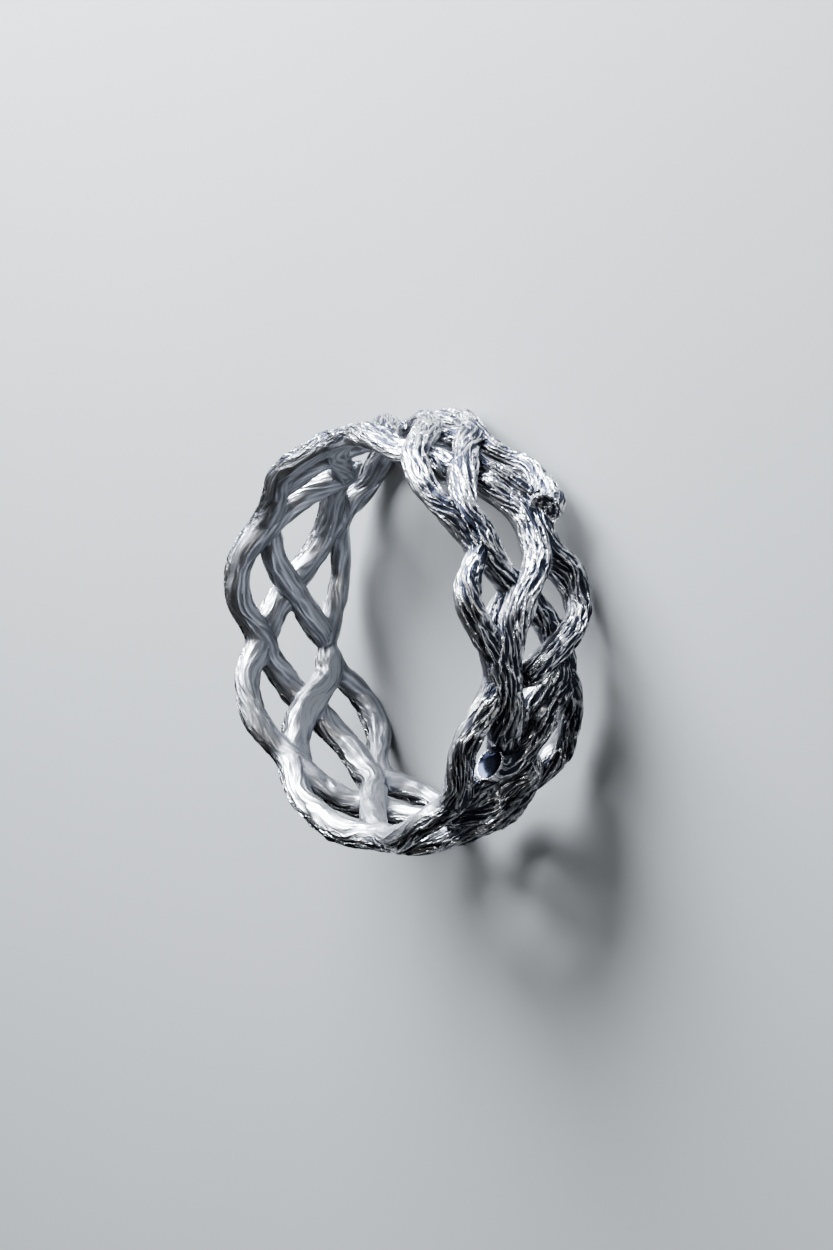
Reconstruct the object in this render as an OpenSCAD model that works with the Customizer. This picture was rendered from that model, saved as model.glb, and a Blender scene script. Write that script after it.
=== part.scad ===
// Braided band ring: twigs with bark, cast as one solid, that cross over and under round a finger.
// It lies on its side. Turn 0 is at +X and grows towards +Y, and the near rim is the upper one.

/* [Band] */
// Inside diameter, the ring size
finger_d = 18.1; // [14:0.1:23]
// Width of the band from rim to rim
band_w = 8.1; // [5.5:0.1:12]

/* [Twigs] */
// Thickness of a full twig
twig_d = 1.45; // [1:0.05:2.2]
// Metal from the bore to the middle of a twig
twig_seat = 0.85; // [0.4:0.05:1.4]
// How far a crossing twig rises or dips, as a share of the routes' own lifts
weave = 1; // [0.5:0.05:1.3]
// Thickness of the rim loops where they are outermost, as a share of a full twig
rim_girth = 0.9; // [0.7:0.05:1.1]

/* [Welds and knots] */
// Thickness of the webs that fill the forks between twigs
web_d = 0.9; // [0.5:0.05:1.4]
// Size of the small knots on the bark
knot_d = 0.75; // [0.4:0.05:1.2]

/* [Fineness] */
// Distance between the rings of points along a twig
ring_gap = 1; // [0.8:0.1:2]

/* [Hidden] */
bore_r = finger_d / 2;
wire_r = bore_r + twig_seat;
reach = (band_w - twig_d * rim_girth) / 2;
sides = 8;
ball_sides = 6;

// Each route is a short table read along the band, a row for each bend:
// [turn in degrees, across as a share of reach, lift and girth as shares of twig_d]
TURN = 0;
ACROSS = 1;
LIFT = 2;
GIRTH = 3;

// Loops that swell out to the near rim, one for each link of the braid
near_loops = [
    [[-43, 0.24, -0.12, 1.05], [-37, 0.33, -0.16, 1.15], [-31, 0.48, -0.28, 1.02], [-24, 0.63, -0.36, 1],
     [-14, 0.64, -0.34, 1], [-4, 0.58, -0.32, 1], [6, 0.53, -0.36, 0.92], [15, 0.52, -0.28, 0.88],
     [24.5, 0.57, -0.1, 0.88]],
    [[8, 0.5, -0.3, 0.5], [16, 0.58, -0.28, 0.85], [24, 0.7, -0.3, 0.88], [31, 0.77, -0.2, 0.9],
     [38, 0.78, -0.14, 0.9], [45, 0.7, -0.15, 0.9], [52, 0.68, -0.1, 0.9], [58, 0.74, 0, 0.85],
     [65, 0.9, 0.02, 0.8], [72, 0.98, 0.05, 0.5]],
    [[35, -0.6, -0.1, 0.5], [40, -0.38, -0.1, 0.85], [45, 0.02, -0.1, 0.9], [50, 0.32, -0.1, 0.9],
     [56, 0.58, -0.1, 0.9], [62, 0.82, -0.05, 0.9], [68, 0.97, 0, 0.9], [74, 1, 0, 0.9],
     [80, 0.93, 0, 0.9], [86, 0.75, 0, 0.9], [92, 0.6, 0, 0.9], [98, 0.52, 0, 0.5]],
    [[88, 0.55, 0, 0.5], [95, 0.7, 0, 0.9], [101, 0.9, 0, 0.9], [107, 0.99, 0, 0.9],
     [113, 1, 0, 0.9], [119, 0.93, 0, 0.9], [125, 0.78, 0, 0.9], [131, 0.65, 0, 0.9],
     [138, 0.56, 0, 0.5]],
    [[123, 0.6, 0, 0.5], [130, 0.74, 0, 0.9], [137, 0.85, 0, 0.9], [144, 0.93, 0, 0.9],
     [151, 0.94, 0, 0.9], [158, 0.93, 0, 0.9], [165, 0.9, 0, 0.9], [171, 0.81, 0, 0.9],
     [178, 0.7, 0, 0.9], [184, 0.58, 0, 0.5]],
    [[171, 0.58, 0, 0.5], [178, 0.68, 0, 0.9], [185, 0.8, 0, 0.9], [192, 0.9, 0, 0.9],
     [199, 0.94, 0, 0.9], [206, 0.92, 0, 0.9], [213, 0.8, 0, 0.9], [220, 0.68, 0, 0.9],
     [226, 0.6, 0, 0.5]],
    [[213, 0.65, 0, 0.5], [219, 0.76, 0, 0.95], [225, 0.86, 0, 0.95], [231, 0.95, 0, 0.9],
     [237, 0.99, 0, 0.92], [242, 0.95, 0, 0.92], [247, 0.84, 0, 0.9], [252, 0.71, 0, 0.9],
     [258, 0.6, 0, 0.85], [264, 0.56, 0, 0.5]],
    [[238, 0.42, -0.1, 0.5], [246, 0.5, -0.05, 0.9], [253, 0.56, 0, 0.93], [260, 0.61, 0, 0.94],
     [266, 0.7, 0, 0.95], [270, 0.8, 0, 0.93], [274, 0.91, 0, 0.9], [279, 1, 0, 0.9],
     [284, 0.94, 0, 0.9], [288, 0.8, 0, 0.85], [292, 0.65, 0, 0.8], [297, 0.56, 0, 0.8],
     [303, 0.5, 0, 0.5]],
    [[287, 0.46, 0, 0.5], [293, 0.58, 0, 0.85], [298, 0.68, 0, 0.85], [302, 0.78, 0, 0.84],
     [306, 0.87, 0, 0.82], [311, 0.93, 0, 0.82], [318, 0.95, 0.05, 0.85], [325, 0.83, 0.15, 0.9],
     [331, 0.58, 0.2, 0.9], [336, 0.3, 0.2, 0.9], [341, 0.05, 0.1, 0.9], [346, -0.17, 0.05, 0.9],
     [353, -0.38, -0.05, 0.9], [360, -0.5, -0.15, 0.9], [366, -0.6, -0.25, 0.5]]
];

// Loops that swell out to the far rim, which the ring lies on. The first ends in a cut stub
far_loops = [
    [[300.2, -0.56, 0.52, 1.05], [302, -0.68, 0.38, 1.1], [304.5, -0.8, 0.27, 1.08], [312, -0.83, 0.2, 0.8],
     [317, -0.81, 0.13, 0.7], [322, -0.71, 0.03, 0.7], [327, -0.59, 0, 0.77], [333, -0.55, 0, 0.87],
     [338, -0.64, 0, 0.9], [344, -0.79, -0.05, 0.9], [350, -0.95, -0.1, 0.9], [357, -0.95, -0.14, 0.9],
     [363, -0.82, -0.2, 0.9], [369, -0.68, -0.3, 0.9], [376, -0.56, -0.3, 0.5]],
    [[6, -0.54, -0.3, 0.5], [13, -0.6, -0.25, 0.9], [20, -0.74, -0.15, 0.9], [27, -0.9, -0.05, 0.9],
     [34, -1, 0, 0.9], [41, -1, 0, 0.9], [48, -0.94, 0, 0.88], [54, -0.78, 0, 0.85],
     [60, -0.62, 0, 0.85], [66, -0.52, 0, 0.5]],
    [[48, -0.56, 0, 0.5], [54, -0.62, 0, 0.78], [61, -0.7, 0, 0.75], [68, -0.81, 0, 0.72],
     [75, -0.86, 0, 0.72], [82, -0.81, 0, 0.78], [88, -0.68, 0, 0.85], [93, -0.56, 0, 0.9],
     [99, -0.5, 0, 0.5]],
    [[97, -0.5, 0, 0.5], [103, -0.6, 0, 0.9], [108, -0.8, 0, 0.9], [113, -0.95, 0, 0.9],
     [119, -1, 0, 0.9], [125, -0.97, 0, 0.9], [130, -0.82, 0, 0.9], [135, -0.66, 0, 0.9],
     [141, -0.55, 0, 0.9], [147, -0.5, 0, 0.5]],
    [[138, -0.5, 0, 0.5], [143, -0.62, 0, 0.9], [147, -0.82, 0, 0.9], [152, -0.96, 0, 0.9],
     [157, -1, 0, 0.9], [162, -0.96, 0, 0.9], [167, -0.82, 0, 0.9], [172, -0.68, 0, 0.9],
     [178, -0.56, 0, 0.5]],
    [[176, -0.54, 0, 0.5], [182, -0.64, 0, 0.9], [188, -0.76, -0.02, 0.9], [194, -0.8, -0.1, 0.88],
     [200, -0.77, -0.17, 0.88], [206, -0.68, -0.2, 0.88], [212, -0.55, -0.18, 0.88], [218, -0.44, -0.1, 0.9],
     [224, -0.4, -0.05, 0.5]],
    [[217, -0.4, 0, 0.5], [223, -0.52, 0, 0.9], [228, -0.67, 0, 0.9], [232, -0.77, 0, 0.9],
     [237, -0.8, 0, 0.82], [243, -0.78, 0, 0.82], [248, -0.71, 0, 0.85], [253, -0.62, 0, 0.9],
     [259, -0.58, 0, 0.5]],
    [[255, 0.3, 0.25, 0.5], [258, 0.15, 0.3, 0.95], [261, -0.05, 0.32, 1], [264.5, -0.33, 0.3, 0.97],
     [268, -0.61, 0.2, 0.92], [272, -0.81, 0.1, 0.84], [276, -0.9, 0, 0.78], [281, -0.9, 0, 0.78],
     [285, -0.81, 0, 0.8], [289, -0.66, 0, 0.85], [293, -0.55, 0, 0.9], [298, -0.52, 0, 0.9],
     [304, -0.6, -0.1, 0.9], [310, -0.56, -0.2, 0.85], [316, -0.46, -0.2, 0.5]]
];

// Twigs that cross the middle from one side to the other
crossings = [
    [[252, -0.6, -0.15, 0.5], [258, -0.6, -0.2, 0.9], [263, -0.53, -0.2, 0.95], [268, -0.42, -0.25, 1],
     [272, -0.3, -0.25, 1], [276, -0.15, -0.25, 1], [279, 0, -0.2, 1], [283, 0.2, -0.1, 1],
     [288, 0.38, 0, 1], [293, 0.46, 0.05, 0.98], [298, 0.52, 0.1, 0.95], [303, 0.58, 0.1, 0.95],
     [308, 0.53, 0.1, 0.95], [315, 0.35, 0.1, 0.97], [322, 0.06, 0.1, 1], [328, -0.17, 0.1, 1],
     [333, -0.38, 0.05, 1], [339, -0.56, 0, 0.5]],
    [[232, 0.14, -0.3, 0.5], [236, 0.26, -0.2, 0.95], [240, 0.34, -0.05, 1.1], [244, 0.39, 0.05, 1.2],
     [249, 0.44, 0.1, 1.2], [255, 0.5, 0.15, 1.14], [261, 0.54, 0.15, 1.1], [266, 0.5, 0.2, 1.1],
     [270, 0.42, 0.2, 1.1], [274, 0.3, 0.25, 1.05], [278, 0.17, 0.28, 1], [282, -0.02, 0.25, 1],
     [286, -0.2, 0.15, 1], [290, -0.33, 0.05, 1], [295, -0.39, -0.05, 1], [300, -0.4, -0.1, 0.95],
     [305, -0.36, -0.15, 0.95], [310, -0.25, -0.2, 0.9], [315, -0.12, -0.25, 0.9], [320, -0.04, -0.3, 0.6]],
    [[262, 0.64, -0.1, 0.5], [268, 0.62, -0.15, 0.9], [272, 0.55, -0.25, 0.9], [276, 0.4, -0.3, 0.9],
     [280, 0.22, -0.3, 0.8], [284, 0.05, -0.3, 0.5]],
    [[214, -0.5, -0.1, 0.5], [219, -0.4, -0.2, 0.9], [224, -0.24, -0.25, 0.9], [229, -0.05, -0.3, 0.9],
     [233, 0.15, -0.25, 0.95], [237, 0.28, -0.15, 1.05], [241, 0.36, -0.05, 0.5]],
    [[237, 0.32, -0.3, 0.5], [240, 0.2, -0.28, 0.8], [244, 0.04, -0.25, 0.9], [248, -0.1, -0.2, 0.9],
     [252, -0.26, -0.1, 0.9], [257, -0.42, 0, 0.9], [262, -0.5, -0.05, 0.5]],
    [[213, 0.66, 0, 0.5], [219, 0.52, 0, 1], [225, 0.4, -0.05, 1], [231, 0.24, -0.05, 0.9],
     [237, 0.04, -0.05, 0.5]],
    [[205, 0.62, 0, 0.5], [211, 0.5, 0.1, 1], [215, 0.22, 0.15, 1.15], [219, 0, 0.15, 1.2],
     [223, -0.12, 0.15, 1.2], [228, -0.24, 0.1, 1.1], [234, -0.3, 0.05, 0.5]],
    [[173, 0.55, 0.1, 0.5], [180, 0.5, 0.15, 0.9], [186, 0.4, 0.2, 0.95], [192, 0.2, 0.2, 1],
     [198, -0.02, 0.18, 1], [204, -0.22, 0.1, 1], [210, -0.38, 0.02, 0.95], [217, -0.46, -0.05, 0.9],
     [224, -0.52, -0.05, 0.5]],
    [[173, -0.52, -0.1, 0.5], [180, -0.48, -0.15, 0.9], [187, -0.34, -0.2, 0.9], [193, -0.12, -0.2, 0.9],
     [198, 0.08, -0.2, 0.9], [204, 0.32, -0.2, 0.9], [210, 0.5, -0.1, 0.9], [216, 0.58, -0.1, 0.5]],
    [[86, 0.6, 0, 0.5], [92, 0.55, 0, 0.9], [97, 0.46, 0.1, 0.9], [102, 0.32, 0.15, 0.95],
     [108, 0.14, 0.18, 1], [114, -0.06, 0.15, 1], [119, -0.2, 0.1, 1], [125, -0.33, 0.05, 0.95],
     [131, -0.38, 0, 0.95], [138, -0.37, 0, 0.95], [144, -0.3, -0.1, 0.95], [149, -0.16, -0.15, 0.95],
     [154, 0.02, -0.18, 0.9], [160, 0.24, -0.15, 0.9], [166, 0.42, -0.1, 0.9], [172, 0.54, 0, 0.9],
     [178, 0.6, 0, 0.5]],
    [[94, -0.55, 0, 0.5], [100, -0.52, -0.1, 0.9], [105, -0.42, -0.15, 0.9], [108, -0.26, -0.18, 1],
     [112, -0.02, -0.18, 1.05], [116, 0.22, -0.15, 1.05], [120, 0.4, -0.1, 1.05], [126, 0.54, -0.05, 1],
     [132, 0.62, 0, 0.95], [137, 0.57, 0, 0.95], [141, 0.43, 0.1, 0.95], [145, 0.27, 0.15, 0.95],
     [149, 0.08, 0.18, 0.95], [154, -0.13, 0.15, 0.95], [160, -0.34, 0.1, 0.9], [168, -0.48, 0, 0.9],
     [176, -0.55, 0, 0.5]],
    [[36, -0.2, 0, 0.5], [42, -0.36, 0, 0.9], [49, -0.44, 0, 0.9], [56, -0.5, 0, 0.9],
     [63, -0.5, 0.1, 0.9], [69, -0.4, 0.15, 0.9], [74, -0.2, 0.18, 0.95], [79, 0.04, 0.18, 0.95],
     [84, 0.26, 0.15, 0.95], [89, 0.42, 0.1, 0.9], [95, 0.52, 0, 0.5]],
    [[56, 0.5, 0, 0.5], [62, 0.48, 0, 0.85], [67, 0.42, -0.1, 0.85], [72, 0.28, -0.15, 0.9],
     [77, 0.1, -0.18, 0.9], [82, -0.08, -0.18, 0.9], [87, -0.26, -0.15, 0.9], [92, -0.42, -0.1, 0.9],
     [98, -0.52, 0, 0.5]],
    [[2, 0.52, -0.35, 0.5], [9, 0.47, -0.34, 0.85], [15, 0.4, -0.32, 0.85], [21, 0.26, -0.3, 0.85],
     [27, 0.08, -0.25, 0.85], [33, -0.14, -0.15, 0.9], [39, -0.34, -0.1, 0.9], [46, -0.46, -0.05, 0.5]],
    [[4, -0.54, -0.3, 0.5], [11, -0.46, -0.26, 0.85], [17, -0.3, -0.2, 0.85], [22, -0.12, -0.12, 0.85],
     [27, 0.1, -0.1, 0.85], [32, 0.34, -0.14, 0.85], [38, 0.55, -0.22, 0.85], [45, 0.66, -0.24, 0.5]],
    [[-18, 0.58, -0.36, 0.5], [-11, 0.46, -0.3, 0.9], [-5, 0.28, -0.18, 0.95], [1, 0.04, -0.14, 0.98],
     [6, -0.2, -0.22, 0.9], [12, -0.42, -0.26, 0.85], [19, -0.62, -0.2, 0.5]],
    [[331, -0.5, -0.05, 0.6], [335, -0.44, -0.15, 0.85], [339, -0.3, -0.2, 0.9], [342, -0.08, -0.2, 0.85],
     [344, 0.12, -0.1, 0.5]],
    [[292, -0.42, -0.2, 0.5], [288, -0.57, -0.3, 0.72], [284, -0.73, -0.34, 0.75],
     [279.5, -0.86, -0.34, 0.75], [275, -0.88, -0.3, 0.75], [270, -0.76, -0.2, 0.5]]
];

// Short twigs that stop in a cut end or a bud
offshoots = [
    [[233, 0.55, 0.22, 1.12], [232, 0.44, 0.27, 1.08], [231.8, 0.3, 0.26, 1.02], [233, 0.12, 0.2, 1],
     [237, -0.07, 0.16, 1], [241, -0.17, 0.15, 0.95], [246, -0.28, 0.15, 0.95], [252, -0.42, 0.1, 1],
     [259, -0.58, 0, 0.5]],
    [[306.5, -0.57, 0.3, 0.5], [309, -0.53, 0.26, 0.5], [312, -0.46, 0.2, 0.5], [316, -0.34, 0.15, 0.52],
     [320, -0.2, 0.1, 0.55], [325, -0.1, 0.1, 0.5]]
];

// Webs that fill the forks: [turn, across, turn, across] of their two ends
webs = [
    [17, 0.5, 24, 0.62], [14, -0.5, 22, -0.66], [57, 0.62, 51, 0.7], [58, -0.58, 52, -0.66],
    [94, 0.55, 99, 0.66], [97, -0.52, 103, -0.55], [134, 0.6, 128, 0.66], [141, -0.46, 146, -0.6],
    [177, 0.6, 171, 0.7], [176, -0.54, 182, -0.6], [217, 0.62, 223, 0.7], [217, -0.48, 223, -0.46],
    [258, 0.6, 252, 0.68], [257, -0.6, 252, -0.62], [296, 0.58, 301, 0.68], [296, -0.5, 290, -0.52],
    [334, -0.5, 340, -0.62], [307, 0.68, 303, 0.66]
];

// Knots on the bark: [turn, across, lift]
knots = [
    [308, 0.62, 0.2], [255, 0.7, 0.22], [286, 0.92, 0.25], [246, -0.2, 0.25], [72, 0.98, 0.25],
    [126, -0.95, 0.22], [160, 0.92, 0.25], [38, -1, 0.2]
];

// A row between b and c of four, at u from 0 to 1
function bend(a, b, c, d, u) =
    (2 * b + (c - a) * u + (2 * a - 5 * b + 4 * c - d) * u * u + (3 * b - a - 3 * c + d) * u * u * u) / 2;

// The length of a route, from row to row
function travel(route, n = 0) =
    n == len(route) - 1 ? 0 : norm(place(route[n + 1]) - place(route[n])) + travel(route, n + 1);

// The rows of a route, smoothed and about ring_gap apart
function smoothed(route) =
    let (last = len(route) - 1, count = max(last, round(travel(route) / ring_gap)))
    [for (i = [0 : count])
        let (n = min(floor(i * last / count), last - 1), u = i * last / count - n)
        bend(route[max(n - 1, 0)], route[n], route[n + 1], route[min(n + 2, last)], u)];

// Where a row's middle lies
function place(row) =
    let (r = wire_r + row[LIFT] * twig_d * weave, share = max(-1, min(1, row[ACROSS])))
    [r * cos(row[TURN]), r * sin(row[TURN]), band_w / 2 + share * reach];

// A point pushed out of the bore
function off_bore(p) =
    let (r = norm([p.x, p.y]))
    r < bore_r ? [p.x * bore_r / r, p.y * bore_r / r, p.z] : p;

// The ring of points round one row, whose twig runs along
function collar(row, along) =
    let (middle = place(row), radial = [cos(row[TURN]), sin(row[TURN]), 0],
        out = unit(radial - along * (radial * along)), side = cross(along, out),
        r = twig_d * row[GIRTH] / 2)
    [for (k = [0 : sides - 1])
        let (a = 360 * k / sides)
        off_bore(middle + r * (cos(a) * out + sin(a) * side))];

function unit(v) = v / norm(v);

// One twig along a route, cut square at both ends
module twig(route) {
    rows = smoothed(route);
    last = len(rows) - 1;
    middles = [for (row = rows) place(row)];
    collars = [for (i = [0 : last])
        collar(rows[i], unit(middles[min(i + 1, last)] - middles[max(i - 1, 0)]))];
    points = [for (ring = collars) each ring];
    first_cap = [for (k = [0 : sides - 1]) k];
    last_cap = [for (k = [sides - 1 : -1 : 0]) last * sides + k];
    skin = [for (i = [0 : last - 1], k = [0 : sides - 1])
        let (a = i * sides + k, b = i * sides + (k + 1) % sides)
        each [[a, a + sides, b], [b, a + sides, b + sides]]];
    polyhedron(points, [first_cap, last_cap, each skin]);
}

// A web of metal in a fork
module web(fork) {
    hull()
        for (end = [[fork[0], fork[1], -0.1, 1], [fork[2], fork[3], -0.1, 1]])
            translate(place(end)) sphere(d = web_d, $fn = ball_sides);
}

// A knot, longer along the band than across
module knot(spot) {
    hull()
        for (step = [-1, 1])
            translate(place([spot[0] + step, spot[1], spot[2], 1])) sphere(d = knot_d, $fn = ball_sides);
}

module braided_band() {
    color("slategray") {
        for (route = near_loops) twig(route);
        for (route = far_loops) twig(route);
        for (route = crossings) twig(route);
        for (route = offshoots) twig(route);
        for (fork = webs) web(fork);
        for (spot = knots) knot(spot);
    }
}

braided_band();
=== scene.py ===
import math

import bpy
import numpy as np
from mathutils import Matrix, Vector


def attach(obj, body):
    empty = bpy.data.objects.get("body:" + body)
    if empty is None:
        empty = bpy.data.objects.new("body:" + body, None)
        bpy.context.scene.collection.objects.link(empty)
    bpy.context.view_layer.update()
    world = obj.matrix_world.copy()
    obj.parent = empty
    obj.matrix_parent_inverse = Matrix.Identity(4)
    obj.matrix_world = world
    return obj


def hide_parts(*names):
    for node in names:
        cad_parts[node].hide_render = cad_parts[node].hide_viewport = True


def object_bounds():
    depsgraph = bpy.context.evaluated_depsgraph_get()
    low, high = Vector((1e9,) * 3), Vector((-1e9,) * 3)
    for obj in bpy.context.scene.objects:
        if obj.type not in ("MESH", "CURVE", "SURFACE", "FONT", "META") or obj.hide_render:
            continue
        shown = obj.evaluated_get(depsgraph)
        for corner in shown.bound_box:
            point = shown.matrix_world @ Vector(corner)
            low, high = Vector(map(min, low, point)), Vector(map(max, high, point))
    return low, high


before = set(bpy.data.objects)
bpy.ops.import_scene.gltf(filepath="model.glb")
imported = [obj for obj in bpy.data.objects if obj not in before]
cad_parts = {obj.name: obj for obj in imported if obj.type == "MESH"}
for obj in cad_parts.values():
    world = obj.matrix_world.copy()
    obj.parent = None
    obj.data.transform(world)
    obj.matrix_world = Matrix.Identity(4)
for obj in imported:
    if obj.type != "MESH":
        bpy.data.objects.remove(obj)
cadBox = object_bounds()
mm = 0.001
print("frame loaded:", list(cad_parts))

# The camera keeps the photograph's angle and roll: the ring lies on its far rim,
# and +X is up in the picture
view = {
    "focal": 144,  # mm
    "sensor": 36,  # mm across the frame
    "near": 0.005,  # m from the lens, where the picture starts
    "lean": 6.4,  # degrees that the hole's axis falls from level
    "turn": 54.6,  # degrees that it turns away from the line of sight
    "middle": (-0.38, 0.15, 241.03),  # mm right, down and away from the lens, the middle of the ring
}


def placeCamera():
    lean, turn = math.radians(view["lean"]), math.radians(view["turn"])
    hole = np.array([-math.sin(turn) * math.cos(lean), math.sin(lean), -math.cos(turn) * math.cos(lean)])
    up = np.array([0, -1, 0])
    top = up - hole * (up @ hole)
    top = top / np.linalg.norm(top)
    toLens = np.eye(4)
    flip = np.diag([1, -1, -1])  # a camera looks along its -Z
    toLens[:3, :3] = flip @ np.stack([top, np.cross(hole, top), hole], 1)
    toLens[:3, 3] = flip @ (np.array(view["middle"]) - hole * band["width"] / 2) * mm
    camera = bpy.data.objects.new("camera", bpy.data.cameras.new("camera"))
    bpy.context.scene.collection.objects.link(camera)
    camera.matrix_world = Matrix(np.linalg.inv(toLens).tolist())
    camera.data.lens = view["focal"]
    camera.data.sensor_width = view["sensor"]
    camera.data.clip_start = view["near"]
    bpy.context.scene.camera = camera


# The band, in mm. The routes repeat the solid's, so that the bark lies on the same twigs
band = {
    "bore": 9.05,  # radius of the finger hole
    "width": 8.1,  # from rim to rim
    "twig": 1.45,  # thickness of a full twig
    "seat": 0.85,  # from the bore to the middle of a twig
    "rimGirth": 0.9,  # thickness of the outermost loops, as a share of a full twig
    "web": 0.9,  # thickness of the webs in the forks
    "webLift": -0.1,  # of a web's middle line, as a share of the twig
    "webShape": [(0, 0.6), (0.25, 1), (0.75, 1), (1, 0.6)],  # places along a web, and its girth there
    "ringGap": 0.2,  # between the rings of points along a twig
    "clearance": 0.005,  # from the bore to the first twig
    "stagger": 0.001,  # further out that each twig stops than the one before
    "inset": 0.002,  # from the solid's box to the outermost points
}
middleRadius = band["bore"] + band["seat"]
reach = (band["width"] - band["twig"] * band["rimGirth"]) / 2

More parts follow.
